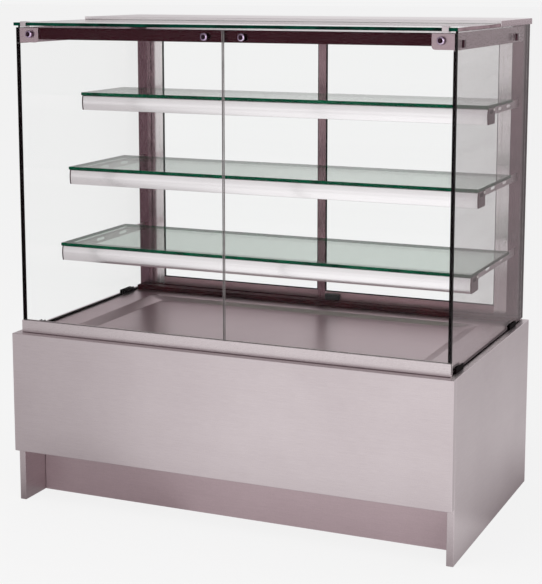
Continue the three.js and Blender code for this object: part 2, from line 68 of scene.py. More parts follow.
HANDS = (("left", -1), ("right", 1))
LEVELS = ("lower", "middle", "upper")
print("nodes", len(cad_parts), "box", [round(v, 4) for v in (*cad_box[0], *cad_box[1])])

# %% [markdown]
# ## Camera
# A product shot of a case is taken from a little above the top glass, from the customer's right, with
# a long lens. The lens is dropped against the film, as on a view camera, so that the uprights stay
# nearly upright while the whole case fits in the picture.

# %% Camera
FILM = 36.0  # mm along the picture's long side
FOCAL = 2.579  # focal length over the picture's long side
CAMERA_AT = Vector((1.562, -3.606, 1.364))
CAMERA_TURN, CAMERA_DIP = math.radians(23.6), math.radians(8.76)

camera = bpy.data.objects.new("camera", bpy.data.cameras.new("camera"))
scene.collection.objects.link(camera)
camera.location = CAMERA_AT
camera.rotation_euler = (math.pi / 2 - CAMERA_DIP, 0, CAMERA_TURN)
camera.data.sensor_width = FILM
camera.data.lens = FILM * FOCAL
camera.data.shift_y = -0.132
camera.data.clip_end = 300
scene.camera = camera
print("lens", round(camera.data.lens, 1), "mm")

# %% [markdown]
# ## Shader maths
# A procedural finish is a small formula: noise times a number, plus another noise, and so on. Wiring
# each Math node by hand hides the formula, so a `Signal` wraps one socket and gives it Python's
# operators. A `Board` wraps a node tree, and its one `add` method makes any other node.

# %% Signal and Board
class Signal:
    """One output socket that can be added, subtracted, multiplied, divided and raised to a power."""

    def __init__(self, board, socket):
        self.board, self.socket = board, socket

    def _math(self, operation, first, second):
        return self.board.add("ShaderNodeMath", {"operation": operation}, {0: first, 1: second})

    def __add__(self, other):
        return self._math("ADD", self, other)

    def __sub__(self, other):
        return self._math("SUBTRACT", self, other)

    def __rsub__(self, other):
        return self._math("SUBTRACT", other, self)

    def __mul__(self, other):
        return self._math("MULTIPLY", self, other)

    def __truediv__(self, other):
        return self._math("DIVIDE", self, other)

    def __rtruediv__(self, other):
        return self._math("DIVIDE", other, self)

    def __pow__(self, other):
        return self._math("POWER", self, other)

    __radd__, __rmul__ = __add__, __mul__


class Board:
    """A node tree with one way to add a node: its type, its settings, then its inputs."""

    def __init__(self, owner):
        owner.use_nodes = True
        self.tree = owner.node_tree
        self.tree.nodes.clear()

    def add(self, kind, settings=None, inputs=None, out=0):
        node = self.tree.nodes.new(kind)
        for name, value in (settings or {}).items():
            if name == "stops":
                self._set_stops(node.color_ramp, value)
            else:
                setattr(node, name, value)
        for key, value in (inputs or {}).items():
            if isinstance(value, Signal):
                self.tree.links.new(value.socket, node.inputs[key])
            else:
                node.inputs[key].default_value = value
        return Signal(self, node.outputs[out]) if node.outputs else node

    def _set_stops(self, ramp, stops):
        ends = [ramp.elements[0], ramp.elements[1]]
        ends[0].position, ends[1].position = stops[0][0], stops[-1][0]
        inner = [ramp.elements.new(position) for position, _ in stops[1:-1]]
        for element in (*inner, *ramp.elements):
            nearest = min(stops, key=lambda stop: abs(stop[0] - element.position))
            element.color = (*(nearest[1],) * 3, 1)

    def noise(self, where, scale, detail=3.0, roughness=0.55):
        return self.add("ShaderNodeTexNoise", {}, {
            "Vector": where, "Scale": scale, "Detail": detail, "Roughness": roughness})

    def ramp(self, signal, *stops):
        return self.add("ShaderNodeValToRGB", {"stops": stops}, {0: signal})

    def split(self, vector):
        node = self.add("ShaderNodeSeparateXYZ", {}, {0: vector}).socket.node
        return [Signal(self, output) for output in node.outputs]

    def mix(self, factor, first, second):
        return self.add("ShaderNodeMix", {"data_type": "RGBA"}, {0: factor, 6: first, 7: second}, out=2)

    def bump(self, height, distance, strength=1.0):
        return self.add("ShaderNodeBump", {}, {
            "Height": height, "Distance": distance, "Strength": strength})


def tint(red, green, blue):
    """A colour given on a 0 to 255 scale, as the linear values that a shader takes."""
    def linear(value):
        share = value / 255
        return share / 12.92 if share <= 0.04045 else ((share + 0.055) / 1.055) ** 2.4
    return (linear(red), linear(green), linear(blue), 1.0)


print("white paper is", [round(v, 3) for v in tint(244, 244, 244)[:3]])

# %% [markdown]
# ## Stage
# The floor and the surroundings are one pale tone, so the case stands on its own. What polished
# steel shows is not the steel but the room, so the room is lit like a studio: paper lies bright in
# front of the case, brightest to the customer's right, the far walls are a dark wine, and a large
# light hangs overhead. Only the camera sees the plain tone; steel and glass see the studio.

# %% Room and floor
PAPER = tint(244, 244, 244)
WALL, LIT = (0.05, 0.012, 0.02, 1.0), (1.0, 0.985, 0.99, 1.0)
FLOOR_SIZE = 160.0
FLOOR_GLOW, FLOOR_ALBEDO = 0.84, 0.08
EYE_LEVEL = 0.9  # height from which the steel sees the floor
SIDE_PULL = 2.4  # the shade at the sides is this much narrower than at the front


def seen_by_camera(board):
    return board.add("ShaderNodeLightPath", out="Is Camera Ray")


def flat_distance(board, right, back):
    return (right * right + back * back + 0.0001) ** 0.5


def studio_light(board, right, back, rise):
    """How bright the studio is along a direction: rise is the tangent of its angle up."""
    size = board.add("ShaderNodeMath", {"operation": "ABSOLUTE"}, {0: back})
    lean = right / (size + 0.05)
    height = rise * 0.5 + 0.5
    ahead = board.ramp(height, (0.0, 1.0), (0.37, 1.0), (0.42, 0.8), (0.46, 1.0), (0.48, 1.0),
                       (0.53, 0.8), (0.66, 0.78), (0.85, 0.45), (1.0, 0.35))
    ahead = ahead * board.ramp(lean + 1.0, (0.24, 0.55), (0.36, 0.70), (0.46, 0.92), (0.72, 1.0))
    behind = board.ramp(height, (0.0, 0.66), (0.26, 0.62), (0.37, 0.48), (0.46, 0.44), (0.495, 0.62),
                        (0.515, 0.95), (0.57, 0.86), (0.62, 0.68), (1.0, 0.9))
    behind = behind * board.ramp(lean + 1.0, (0.40, 0.66), (0.62, 1.0))
    is_behind = board.ramp(back * 0.5 + 0.5, (0.46, 0.0), (0.54, 1.0))
    return ahead + (behind - ahead) * is_behind


def build_room():
    world = bpy.data.worlds.new("studio_room")
    scene.world = world
    board = Board(world)
    right, back, up = board.split(board.add("ShaderNodeTexCoord", out="Generated"))
    glow = studio_light(board, right, back, up / flat_distance(board, right, back))
    graded = board.add("ShaderNodeBackground", {}, {"Color": board.mix(glow, WALL, LIT)})
    plain = board.add("ShaderNodeBackground", {}, {"Color": PAPER})
    both = board.add("ShaderNodeMixShader", {}, {0: seen_by_camera(board), 1: graded, 2: plain})
    board.add("ShaderNodeOutputWorld", {}, {0: both})


def footprint_shade(board, right, back):
    """Darkens the floor close to the case, which stands in its own light."""
    outside = []
    for along, half, pull in ((right, cad_box[1].x, SIDE_PULL), (back, cad_box[1].y, 1.0)):
        size = board.add("ShaderNodeMath", {"operation": "ABSOLUTE"}, {0: along})
        past = board.add("ShaderNodeMath", {"operation": "MAXIMUM"}, {0: size - half, 1: 0.0})
        outside.append(past * pull)
    away = flat_distance(board, *outside)
    return board.ramp(away, (0.0, 0.42), (0.12, 0.6), (0.55, 1.0))


def build_floor():
    bm = bmesh.new()
    bmesh.ops.create_grid(bm, x_segments=1, y_segments=1, size=FLOOR_SIZE / 2)
    mesh = bpy.data.meshes.new("floor")
    bm.to_mesh(mesh)
    bm.free()
    floor = bpy.data.objects.new("floor", mesh)
    scene.collection.objects.link(floor)
    look = bpy.data.materials.new("floor_paper")
    board = Board(look)
    right, back, _ = board.split(board.add("ShaderNodeTexCoord", out="Object"))
    away = flat_distance(board, right, back)
    glow = studio_light(board, right / away, back / away, -EYE_LEVEL / away)
    glow = glow * footprint_shade(board, right, back)
    seen = board.add("ShaderNodeEmission", {}, {"Color": (1, 1, 1, 1), "Strength": FLOOR_GLOW})
    paper = board.add("ShaderNodeBsdfDiffuse", {}, {"Color": (FLOOR_ALBEDO,) * 3 + (1,)})
    to_camera = board.add("ShaderNodeAddShader", {}, {0: seen, 1: paper})
    to_steel = board.add("ShaderNodeEmission", {}, {"Color": board.mix(glow, WALL, LIT)})
    both = board.add("ShaderNodeMixShader", {}, {0: seen_by_camera(board), 1: to_steel, 2: to_camera})
    board.add("ShaderNodeOutputMaterial", {}, {0: both})
    mesh.materials.append(look)


def add_softbox(name, where, target, size, power, in_reflections=True):
    lamp = bpy.data.lights.new(name, "AREA")
    lamp.shape, lamp.size, lamp.energy = "SQUARE", size, power
    holder = bpy.data.objects.new(name, lamp)
    scene.collection.objects.link(holder)
    holder.location = where
    holder.rotation_euler = (Vector(target) - Vector(where)).to_track_quat("-Z", "Y").to_euler()
    holder.visible_camera = False
    holder.visible_glossy = in_reflections


build_room()
build_floor()
add_softbox("overhead_softbox", (-0.8, -1.6, 3.6), (0, 0, 0.6), 2.2, 70, in_reflections=False)
add_softbox("customer_softbox", (2.6, -3.0, 2.0), (0, 0, 0.7), 1.6, 22)
scene.view_settings.view_transform = "Standard"
scene.cycles.transparent_max_bounces = 40  # a glance through the case crosses a dozen glass faces

# %% [markdown]
# ## Brushed stainless steel
# Sheet steel for counters is ground with a belt, which leaves fine parallel scratches. They blur
# reflections and show as faint streaks, with slow clouds from rolling and wiping. Stretched noise
# gives all three: long along the grain and short across it. The grain runs along X on the front,
# along Y on the sides and up the posts, so the direction is a setting.

# %% Steel finishes
FINE_LINES, WIDE_LINES, CLOUDS = 1100.0, 240.0, 3.2  # noise cells to the metre, across the grain
GRAIN_STRETCH = 0.035


def brushed(name, pale, dark, grain="X", roughness=0.3, sheen_spread=0.1, relief=0.00003,
            metallic=1.0):
    look = bpy.data.materials.new(name)
    board = Board(look)
    where = board.add("ShaderNodeTexCoord", out="Object")
    stretched = board.add("ShaderNodeMapping", {}, {
        "Vector": where, "Scale": tuple(GRAIN_STRETCH if axis == grain else 1.0 for axis in "XYZ")})
    speckle = board.noise(where, 420.0, 2.0)
    fine = board.noise(stretched, FINE_LINES, 2.0)
    wide = board.noise(stretched, WIDE_LINES, 3.0)
    clouds = board.noise(where, CLOUDS, 4.0, 0.6)
    wiped = board.ramp(board.noise(stretched, 9.0, 4.0), (0.35, 0.0), (0.7, 1.0))
    streaks = fine * 0.35 + wide * 0.15 + speckle * 0.3 + clouds * 0.35
    shade = board.ramp(streaks, (0.38, 0.0), (0.78, 1.0))
    colour = board.mix(shade, dark, pale)
    rough = roughness - sheen_spread / 2 + fine * sheen_spread + wiped * sheen_spread * 0.5
    normal = board.bump(fine + wide * 0.4, relief)
    steel = board.add("ShaderNodeBsdfPrincipled", {}, {
        "Base Color": colour, "Roughness": rough, "Metallic": metallic, "Normal": normal})
    board.add("ShaderNodeOutputMaterial", {}, {0: steel})
    return look


PALE_STEEL, DEEP_STEEL = tint(219, 210, 212), tint(196, 185, 188)
steel_across = brushed("steel_grain_across", PALE_STEEL, DEEP_STEEL, "X")
steel_deep = brushed("steel_grain_front_to_back", PALE_STEEL, DEEP_STEEL, "Y", 0.32)
steel_deck = brushed("steel_deck", tint(202, 183, 188), tint(178, 158, 164), "X", 0.3, 0.08)
steel_kick = brushed("steel_kick", tint(220, 200, 205), tint(200, 180, 185), "X", 0.36, 0.08,
                     metallic=0.6)
steel_inside = brushed("steel_inside", tint(206, 198, 200), tint(184, 174, 177), "X", 0.4, 0.08,
                       metallic=0.35)
steel_bright = brushed("steel_bright", tint(220, 211, 213), tint(200, 190, 192), "X", 0.26, 0.08,
                       0.000006)
# The posts take a dark wine copy of the steel: a painted reflection of the dark room they face.
steel_upright_painted_reflection = brushed("steel_upright_painted_reflection", tint(134, 107, 115), tint(84, 58, 67), "Z", 0.24)
# The header bar takes a near-black wine copy of the steel: a painted reflection of the dark room.
steel_header_painted_reflection = brushed("steel_header_painted_reflection", tint(64, 30, 38), tint(44, 14, 21), "X", 0.24)
# The frame steel is a darker mauve copy: a painted reflection of the wine room on the side rails and painted
# shade on the hood's ends.
steel_frame_reflection_and_shade = brushed("steel_upper_frame_reflection_and_shade", tint(196, 178, 184), tint(160, 138, 145), "Y", 0.26)
# The hood steel is a near-white copy of the steel: painted light on the hood's top, under the overhead
# light.
steel_hood_painted_light = brushed("steel_hood_painted_light", tint(248, 244, 245), tint(230, 223, 226), "X", 0.3, 0.04, 0.000003)
aluminium = brushed("aluminium_anodised", tint(255, 254, 255), tint(247, 243, 245), "X", 0.2, 0.04, 0.00001)
aluminium_up = brushed("aluminium_stile", tint(255, 253, 253), tint(234, 228, 229), "Z", 0.22, 0.04, 0.00001)
# The meeting stiles and the floors of the finger pulls take a dark mauve copy of the aluminium: painted
# shade.
aluminium_meeting_painted_shade = brushed("aluminium_meeting_stile_painted_shade", tint(168, 142, 148), tint(112, 84, 91), "Z",
                            0.26, 0.05)
# The door rails take a darker mauve copy of the aluminium: painted shade.
aluminium_rail_painted_shade = brushed("aluminium_door_rail", tint(206, 180, 185), tint(166, 138, 143), "X", 0.3, 0.06)
print("finishes", len(bpy.data.materials))

# %% [markdown]
# ## Moulded and coated finishes
# The track is a dark coated section, and its wine-black tone is partly painted shade of the gap under
# the doors. The pads are rubber and the switch is moulded plastic. None of them is a flat colour: a
# coat has orange peel, rubber has a bloom and moulded plastic a fine spark texture. Each is the same
# recipe with its own grain size and depth.

# %% Coated, rubber and plastic finishes
def moulded(name, pale, dark, roughness, cell, relief, metallic=0.0, coat=0.0, gloss=0.5):
    look = bpy.data.materials.new(name)
    board = Board(look)
    where = board.add("ShaderNodeTexCoord", out="Object")
    grain = board.noise(where, 1 / cell, 2.0)
    bloom = board.noise(where, 14.0, 4.0, 0.6)
    colour = board.mix(board.ramp(bloom, (0.35, 0.0), (0.7, 1.0)), dark, pale)
    body = board.add("ShaderNodeBsdfPrincipled", {}, {
        "Base Color": colour, "Roughness": roughness - 0.08 + bloom * 0.16, "Metallic": metallic,
        "Coat Weight": coat, "Specular IOR Level": gloss, "Normal": board.bump(grain, relief)})
    board.add("ShaderNodeOutputMaterial", {}, {0: body})
    return look


# The track's near-black wine is partly its own dark coat and partly painted shade of the gap under the
# doors.
track_coat_and_shade = moulded("track_coat_and_shade", tint(64, 10, 20), tint(34, 0, 6), 0.5, 0.0009, 0.00002, gloss=0.15)
rubber = moulded("rubber_pad", tint(14, 5, 8), tint(5, 0, 1), 0.72, 0.0006, 0.00005, gloss=0.06)
plastic = moulded("black_plastic", tint(40, 38, 42), tint(24, 22, 26), 0.46, 0.0004, 0.00004)
white_plastic = moulded("white_plastic", tint(236, 234, 230), tint(220, 216, 212), 0.4, 0.0005, 0.00003)
# The bolts' lilac tint and their near-black core are painted reflections of the dark wine room in polished
# chrome.
bolt_chrome = moulded("bolt_chrome", tint(226, 208, 232), tint(196, 172, 206), 0.18, 0.002, 0.00001, 1.0)
bolt_core_painted_reflection = moulded("bolt_core_painted_reflection", tint(48, 12, 34), tint(22, 2, 14), 0.22, 0.002, 0.00001, 0.6)
screw_steel = moulded("screw_steel", tint(226, 218, 220), tint(190, 180, 184), 0.28, 0.002, 0.00001, 1.0)
cap_steel = moulded("cap_steel", tint(92, 66, 74), tint(66, 42, 50), 0.34, 0.0008, 0.00002, 0.9)

# %% [markdown]
# ## Float glass
# A pane is two things to the eye. Its faces let the view through and mirror the room at a slant, and
# its cut edges gather the green of the iron in the glass. A refracting shader would be exact but
# noisy, so the faces mix a clear shader with a mirror, by how steeply they are seen. The edges
# are a deep polished green with their own gloss, and the top glass's front edge and the shelves'
# edges add a faint painted glow of that green. The grey at the seam between the front panes and the
# mauve at the ends of the top glass are painted reflections of the room.

# %% Glass finishes
def clear_face(name, through, haze=0.003, square_on=0.004, mirror_tint=(0.96, 0.97, 0.965, 1),
               glance=0.0):
    look = bpy.data.materials.new(name)
    board = Board(look)
    where = board.add("ShaderNodeTexCoord", out="Object")
    slant = board.add("ShaderNodeLayerWeight", {}, {"Blend": 0.5}, out="Facing")
    smears = board.ramp(board.noise(where, 5.0, 4.0, 0.7), (0.45, 0.0), (0.75, 1.0))
    mirror = board.add("ShaderNodeBsdfPrincipled", {}, {
        "Base Color": mirror_tint, "Metallic": 1.0, "Roughness": 0.015 + smears * 0.03})
    clear = board.add("ShaderNodeBsdfTransparent", {}, {"Color": through})
    share = square_on + (slant ** 5.4) * (1 - square_on) + smears * haze
    if glance:
        wiped = board.add("ShaderNodeMapping", {}, {"Vector": where, "Scale": (1.0, 0.08, 1.0)})
        streaks = 0.5 + board.noise(wiped, 26.0, 3.0)
        share = share + board.ramp(slant, (0.5, 0.0), (0.66, 1.0)) * streaks * glance
    both = board.add("ShaderNodeMixShader", {}, {0: share, 1: clear, 2: mirror})
    board.add("ShaderNodeOutputMaterial", {}, {0: both})
    return look


def cut_edge(name, pale, dark, glow=0.0):
    look = bpy.data.materials.new(name)
    board = Board(look)
    where = board.add("ShaderNodeTexCoord", out="Object")
    depths = board.noise(where, 22.0, 3.0)
    ground = board.noise(where, 1500.0, 1.0)
    colour = board.mix(board.ramp(depths, (0.35, 0.0), (0.7, 1.0)), dark, pale)
    # Emission in the edge's own colour is a painted glow: the cut edge is no lamp.
    edge = board.add("ShaderNodeBsdfPrincipled", {}, {
        "Base Color": colour, "Roughness": 0.22 + ground * 0.1, "Specular IOR Level": 0.05,
        "Emission Color": colour, "Emission Strength": glow,
        "Normal": board.bump(ground, 0.00001)})
    board.add("ShaderNodeOutputMaterial", {}, {0: edge})
    return look


face_glass = clear_face("glass_face", (0.998, 1.0, 0.999, 1))
# The side panes' mirror is tinted dark mauve: a painted reflection of the dark room beside the case.
side_face = clear_face("side_glass_face", (0.998, 1.0, 0.999, 1), mirror_tint=(0.40, 0.33, 0.345, 1),
                       glance=0.11)
shelf_face = clear_face("shelf_glass_face", (0.88, 0.93, 0.90, 1), 0.01, 0.05, (0.53, 0.575, 0.545, 1))
top_face = clear_face("top_glass_face", (0.95, 0.97, 0.955, 1))
dark_edge = cut_edge("glass_edge_dark", tint(12, 2, 5), tint(4, 0, 1))
# The seam edge's grey and the mauve of the top glass's ends are painted reflections of the room, not the
# glass's own green.
seam_edge = cut_edge("glass_edge_seam", tint(150, 146, 146), tint(116, 110, 110))
mauve_edge = cut_edge("glass_edge_mauve", tint(158, 134, 140), tint(120, 96, 102))
front_edge = cut_edge("glass_edge_front", tint(0, 62, 46), tint(0, 22, 16), 0.05)
green_edge = cut_edge("glass_edge_green", tint(0, 80, 54), tint(0, 48, 32), 0.08)

# %% [markdown]
# ## Light strip
# Under each shelf a strip of diodes shines down through an opal cover. The cover glows evenly with a
# soft ripple where the diodes sit behind it.

# %% Opal cover
DIODE_PITCH = 0.0166


def opal_cover(name):
    look = bpy.data.materials.new(name)
    board = Board(look)
    where = board.add("ShaderNodeTexCoord", out="Object")
    along = board.add("ShaderNodeSeparateXYZ", {}, {0: where})
    beat = board.add("ShaderNodeMath", {"operation": "SINE"}, {0: along * (2 * math.pi / DIODE_PITCH)})
    ripple = 0.93 + beat * 0.07
    colour = board.mix(ripple, tint(232, 226, 214), tint(255, 251, 244))
    cover = board.add("ShaderNodeBsdfPrincipled", {}, {
        "Base Color": colour, "Roughness": 0.55, "Emission Color": colour, "Emission Strength": 0.8})
    board.add("ShaderNodeOutputMaterial", {}, {0: cover})
    return look


opal = opal_cover("opal_cover")
print("materials", len(bpy.data.materials))

# %% [markdown]
# ## Mesh tools
# Four small tools make nearly every piece. `block` is a box between two corners, `sweep` pulls an
# outline along an axis, `turned` spins a profile, and `soften` rounds sharp edges as a brake press
# does. `finish_piece` hands the result to the frame: it rides on a body and may stand for a node.

# %% Mesh tools
SHARP = math.radians(30)


def block(lo, hi, bm=None):
    bm = bm or bmesh.new()
    lo, hi = Vector(lo), Vector(hi)
    where = Matrix.Translation((lo + hi) / 2) @ Matrix.Diagonal((*(hi - lo), 1))
    bmesh.ops.create_cube(bm, size=1, matrix=where)
    return bm


def sweep(outline, axis, start, end, bm=None):
    bm = bm or bmesh.new()
    index = "XYZ".index(axis)
    ring = []
    for pair in outline:
        place = list(pair)
        place.insert(index, start)
        ring.append(bm.verts.new(place))
    face = bmesh.ops.contextual_create(bm, geom=ring)["faces"][0]
    pulled = bmesh.ops.extrude_face_region(bm, geom=[face])["geom"]
    way = Vector([end - start if i == index else 0 for i in range(3)])
    moved = [v for v in pulled if isinstance(v, bmesh.types.BMVert)]
    bmesh.ops.translate(bm, vec=way, verts=moved)
    bmesh.ops.recalc_face_normals(bm, faces=bm.faces)
    return bm


def turned(profile, at, way, bm=None, steps=32):
    """Spins (radius, height) pairs about an axis through at, pointing along way."""
    bm = bm or bmesh.new()
    verts = [bm.verts.new((radius, 0, height)) for radius, height in profile]
    edges = [bm.edges.new(pair) for pair in zip(verts, verts[1:])]
    before = set(bm.faces)
    bmesh.ops.spin(bm, geom=verts + edges, cent=(0, 0, 0), axis=(0, 0, 1), angle=2 * math.pi,
                   steps=steps, use_merge=True)
    made = [f for f in bm.faces if f not in before]
    points = list({v for f in made for v in f.verts})
    bmesh.ops.remove_doubles(bm, verts=points, dist=1e-6)
    made = [f for f in bm.faces if f not in before]
    bmesh.ops.recalc_face_normals(bm, faces=made)
    points = list({v for f in made for v in f.verts})
    turn = Vector(way).to_track_quat("Z", "Y").to_matrix().to_4x4()
    bmesh.ops.transform(bm, matrix=Matrix.Translation(at) @ turn, verts=points)
    return bm


def sharp_edges(bm, wanted=lambda edge: True):
    return [e for e in bm.edges if len(e.link_faces) == 2
            and e.calc_face_angle(0) > SHARP and wanted(e)]


def soften(bm, width, segments=2, wanted=lambda edge: True):
    bmesh.ops.bevel(bm, geom=sharp_edges(bm, wanted), offset=width, offset_type="OFFSET",
                    segments=segments, profile=0.5, affect="EDGES", material=-1, clamp_overlap=True)
    return bm


def node_copy(node, seams=(), finish_of=None):
    """The node's own shape as one welded mesh with its flat triangles joined into faces. A piece
    made of several members is cut at the x of each seam and keeps a finish for each member."""
    bm = bmesh.new()
    bm.from_mesh(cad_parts[node].data)
    bmesh.ops.remove_doubles(bm, verts=bm.verts, dist=1e-6)
    for x in seams:
        whole = [*bm.verts, *bm.edges, *bm.faces]
        bmesh.ops.bisect_plane(bm, geom=whole, dist=0.02 * MM, plane_co=(x, 0, 0),
                               plane_no=(1, 0, 0))
    for face in bm.faces:
        face.material_index = finish_of(face.calc_center_median().x) if finish_of else 0
    bmesh.ops.dissolve_limit(bm, angle_limit=math.radians(0.5), verts=bm.verts, edges=bm.edges,
                             delimit={"MATERIAL"})
    return bm


def finish_piece(bm, name, looks, replaces=(), body="cabinet"):
    mesh = bpy.data.meshes.new(name)
    bm.to_mesh(mesh)
    bm.free()
    for look in looks if isinstance(looks, (list, tuple)) else [looks]:
        mesh.materials.append(look)
    mesh.shade_smooth()
    mesh.set_sharp_from_angle(angle=math.radians(40))
    made = bpy.data.objects.new(name, mesh)
    scene.collection.objects.link(made)
    made.modifiers.new("even_faces", "WEIGHTED_NORMAL").keep_sharp = True
    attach(made, body)
    if replaces:
        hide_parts(*([replaces] if isinstance(replaces, str) else replaces))
    return made


def coat_node(node, look):
    """Gives a carried-over node its finish."""
    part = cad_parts[node]
    part.data.materials.clear()
    part.data.materials.append(look)


print("tools ready")

# %% [markdown]
# ## Steel cabinet
# Each panel is a tray of 1 mm sheet folded round a core, so its long edges are small round folds and
# its open edges show the sheet's return with the core set back inside. A box with bevelled folds and
# one inset face on the open edge says that at a glance.

# %% Cabinet panels
FOLD = 1.6 * MM
RETURN = 9 * MM
SET_BACK = 1.2 * MM


def open_edge(bm, way):
    """Sets back the core on the face that looks along way, inside the sheet's folded return."""
    way = Vector(way)
    face = max(bm.faces, key=lambda f: f.normal.dot(way) * f.calc_area())
    rim = min(RETURN, face.calc_perimeter())
    short = min((e.calc_length() for e in face.edges))
    bmesh.ops.inset_region(bm, faces=[face], thickness=min(rim, short * 0.18), depth=-SET_BACK,
                           use_even_offset=True)
    return bm


def tray(node, name, look, open_ways=(), fold=FOLD):
    bm = block(*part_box(node))
    for way in open_ways:
        open_edge(bm, way)
    soften(bm, fold, 3, lambda e: e.calc_length() > 4 * SET_BACK)
    return finish_piece(bm, name, look, node)


for hand, side in HANDS:
    tray(f"{hand}_side_panel", f"{hand}_side_skin", steel_deep, [(0, 1, 0)])
tray("front_panel", "front_panel_tray", steel_across, fold=1.4 * MM)
tray("kick_panel", "kick_panel_tray", steel_kick)
tray("cabinet_floor", "cabinet_floor_tray", steel_inside)
tray("storage_shelf", "storage_shelf_tray", steel_inside)
for end in ("front", "rear"):
    coat_node(f"{end}_stretcher", steel_across)

# %% [markdown]
# ## Deck
# The deck is pressed from one sheet. Its well has a crisp but rounded rim, walls that slope more at
# the ends than at the front, and rounded corners. It starts as a block: planes cut the rim's lines
# into it, the middle face is pushed down, and the new edges are bevelled.

# %% Deck
WELL = {"side": 87 * MM, "front": 60 * MM, "rear": 115 * MM}
WELL_DEPTH, WELL_END_RUN, WELL_SIDE_RUN = 12 * MM, 15 * MM, 39 * MM


def build_deck():
    lo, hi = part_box("deck")
    panel_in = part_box("right_side_panel")[0].x
    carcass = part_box("right_side_panel")[0].y
    rim_x = panel_in - WELL["side"]
    rim_front, rim_rear = carcass + WELL["front"], hi.y - WELL["rear"]
    bm = block(lo, hi)
    cuts = [((-rim_x, 0, 0), (1, 0, 0)), ((rim_x, 0, 0), (1, 0, 0)),
            ((0, rim_front, 0), (0, 1, 0)), ((0, rim_rear, 0), (0, 1, 0))]
    for point, normal in cuts:
        whole = [*bm.verts, *bm.edges, *bm.faces]
        bmesh.ops.bisect_plane(bm, geom=whole, plane_co=point, plane_no=normal)
    middle = (rim_front + rim_rear) / 2
    centre = min((f for f in bm.faces if f.normal.z > 0.9),
                 key=lambda f: (f.calc_center_median() - Vector((0, middle, hi.z))).length)
    bmesh.ops.inset_region(bm, faces=[centre], thickness=WELL_END_RUN, depth=-WELL_DEPTH)
    squeeze = Matrix.Diagonal(((rim_x - WELL_SIDE_RUN) / (rim_x - WELL_END_RUN), 1, 1, 1))
    bmesh.ops.transform(bm, matrix=squeeze, verts=list(centre.verts))
    corners = [e for e in bm.edges if all(abs(f.normal.z) < 0.99 and f.normal.z > 0.1
                                          for f in e.link_faces) and len(e.link_faces) == 2]
    bmesh.ops.bevel(bm, geom=corners, offset=14 * MM, offset_type="OFFSET", segments=5, profile=0.5,
                    affect="EDGES", material=-1, clamp_overlap=True)
    rim = [e for e in bm.edges if len(e.link_faces) == 2 and e.calc_face_angle(0) > math.radians(12)
           and e.calc_face_angle(0) < math.radians(60)
           and any(f.normal.z > 0.99 for f in e.link_faces)]
    bmesh.ops.bevel(bm, geom=rim, offset=2.4 * MM, offset_type="OFFSET", segments=3, profile=0.5,
                    affect="EDGES", material=-1, clamp_overlap=True)
    return finish_piece(bm, "deck_pressing", steel_deck, "deck")


build_deck()

# %% [markdown]
# ## Panes
# Every pane is a thin block with a ground arris, the narrow 45 degree bevel that takes the knife
# edge off. The two large faces carry the clear finish, and everything else is cut edge.

# %% Panes
ARRIS = 0.7 * MM


def pane(node, name, face_look, edge_look, body="cabinet", special=()):
    """special lists (way, look) for edges that face one way and catch the room differently."""
    lo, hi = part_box(node)
    bm = block(lo, hi)
    thin = min(range(3), key=lambda i: (hi - lo)[i])
    soften(bm, ARRIS, 1)
    for face in bm.faces:
        broad = abs(face.normal[thin]) > 0.99
        face.material_index = 0 if broad else 1
        for index, (way, _) in enumerate(special):
            if not broad and face.normal.dot(Vector(way)) > 0.6:
                face.material_index = 2 + index
    looks = [face_look, edge_look, *(look for _, look in special)]
    return finish_piece(bm, name, looks, node, body)


for hand, side in HANDS:
    pane(f"{hand}_front_glass", f"{hand}_front_pane", face_glass, dark_edge,
         special=[((-side, 0, 0), seam_edge)])
    pane(f"{hand}_side_glass", f"{hand}_side_pane", side_face, dark_edge)
    pane(f"{hand}_door_glass", f"{hand}_door_pane", face_glass, dark_edge, f"{hand}_door")
pane("top_glass", "top_pane", top_face, front_edge,
     special=[((-1, 0, 0), mauve_edge), ((1, 0, 0), mauve_edge)])
for level in LEVELS:
    pane(f"{level}_shelf_glass", f"{level}_shelf_pane", shelf_face, green_edge)

# %% [markdown]
# ## Seals and gaskets
# Glass never touches steel. A dark angle strip lies along the foot of each side glass, a seal closes
# each front corner, and a thin bead frames the glass of each door. All of them are plain sections
# pulled along a line, so `sweep` and `block` make them.

# %% Seals and gaskets
LIP_OUT, LIP_RISE, BEAD, SEAL_DEEP = 1.4 * MM, 4.4 * MM, 1.8 * MM, 3 * MM
REBATE = 6 * MM  # how far a door's glass runs into its frame


def door_sight(hand):
    """The clear opening of a door as its left, right, bottom and top."""
    lo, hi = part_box(f"{hand}_door_glass")
    return lo.x + REBATE, hi.x - REBATE, lo.z + REBATE, hi.z - REBATE


def build_foot_gasket(hand, side):
    lo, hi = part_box(f"{hand}_side_glass")
    inner, outer = (lo.x, hi.x) if side > 0 else (hi.x, lo.x)
    deck_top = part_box("deck")[1].z
    foot, under = deck_top + 0.1 * MM, lo.z - 0.05 * MM
    lip, face = inner - side * LIP_OUT, inner - side * 0.1 * MM
    rise = deck_top + LIP_RISE
    angle = [(outer, foot), (outer, under), (face, under), (face, rise), (lip, rise), (lip, foot)]
    front, rear = (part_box(f"{hand}_{end}_glass_clip") for end in ("front", "rear"))
    post_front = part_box(f"{hand}_rear_post")[0].y
    gap = 0.3 * MM
    bm = bmesh.new()
    for start, end in ((lo.y, front[0].y - gap), (front[1].y + gap, rear[0].y - gap),
                       (rear[1].y + gap, post_front - gap)):
        sweep(angle, "Y", start, end, bm)
    finish_piece(bm, f"{hand}_foot_gasket", rubber)


